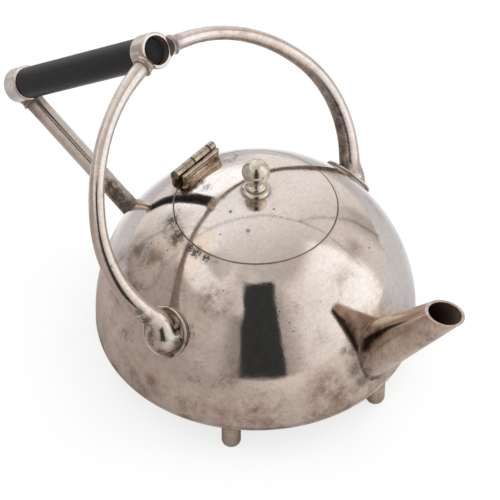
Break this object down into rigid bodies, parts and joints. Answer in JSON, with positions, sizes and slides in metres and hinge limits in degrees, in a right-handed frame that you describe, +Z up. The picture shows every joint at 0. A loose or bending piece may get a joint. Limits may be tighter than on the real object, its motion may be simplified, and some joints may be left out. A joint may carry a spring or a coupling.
{
  "type": "teapot",
  "caption": "Round-bodied silver teapot on peg feet with a slanting dark bar grip held by curved arms, straight spout and hinged lid.",
  "frame": {"origin": "on the table, under the middle of the outline seen from above", "axes": "+X towards the spout, +Y to the pot's left seen from behind the handle, +Z up"},
  "size_m": [0.2882, 0.1736, 0.1617],
  "materials": {
    "body_silver": "polished silver plate, lightly tarnished and scratched",
    "handle_silver": "polished silver plate with brown tarnish in the hollows",
    "spout_silver": "worn polished silver plate, browned",
    "foot_silver": "dark tarnished silver plate",
    "finial_silver": "polished, slightly yellowed silver plate",
    "solder": "dull grey solder",
    "brass": "dull, dirty, worn plate over brass",
    "ebony": "black, fine soft sheen"
  },
  "bodies": {
    "pot": {"body_shell": "body_silver", "base_plate": "body_silver", "mouth_ring": "body_silver", "spout": "spout_silver", "spout_bead": "solder", "hinge_body_leaf": "brass", "hinge_pin": "brass", "grip": "ebony", "grip_pin_front": "handle_silver", "grip_pin_rear": "handle_silver", "front_socket": "handle_silver", "rear_socket": "handle_silver", "arm_left": "handle_silver", "arm_right": "handle_silver", "pad_left": "handle_silver", "pad_right": "handle_silver", "strut": "handle_silver", "strut_foot": "handle_silver", "foot_1": "foot_silver", "foot_2": "foot_silver", "foot_3": "foot_silver", "foot_4": "foot_silver", "foot_5": "foot_silver", "foot_6": "foot_silver"},
    "lid": {"lid_shell": "body_silver", "lid_band": "body_silver", "finial": "finial_silver", "finial_washer": "finial_silver", "finial_nut": "brass", "hinge_lid_leaf": "brass"}
  },
  "joints": [
    {"name": "lid_hinge", "type": "hinge", "parent": "pot", "child": "lid", "pos_m": [-0.01993, 0, 0.0964], "axis": [0, -1, 0], "range_deg": [0, 98]}
  ]
}
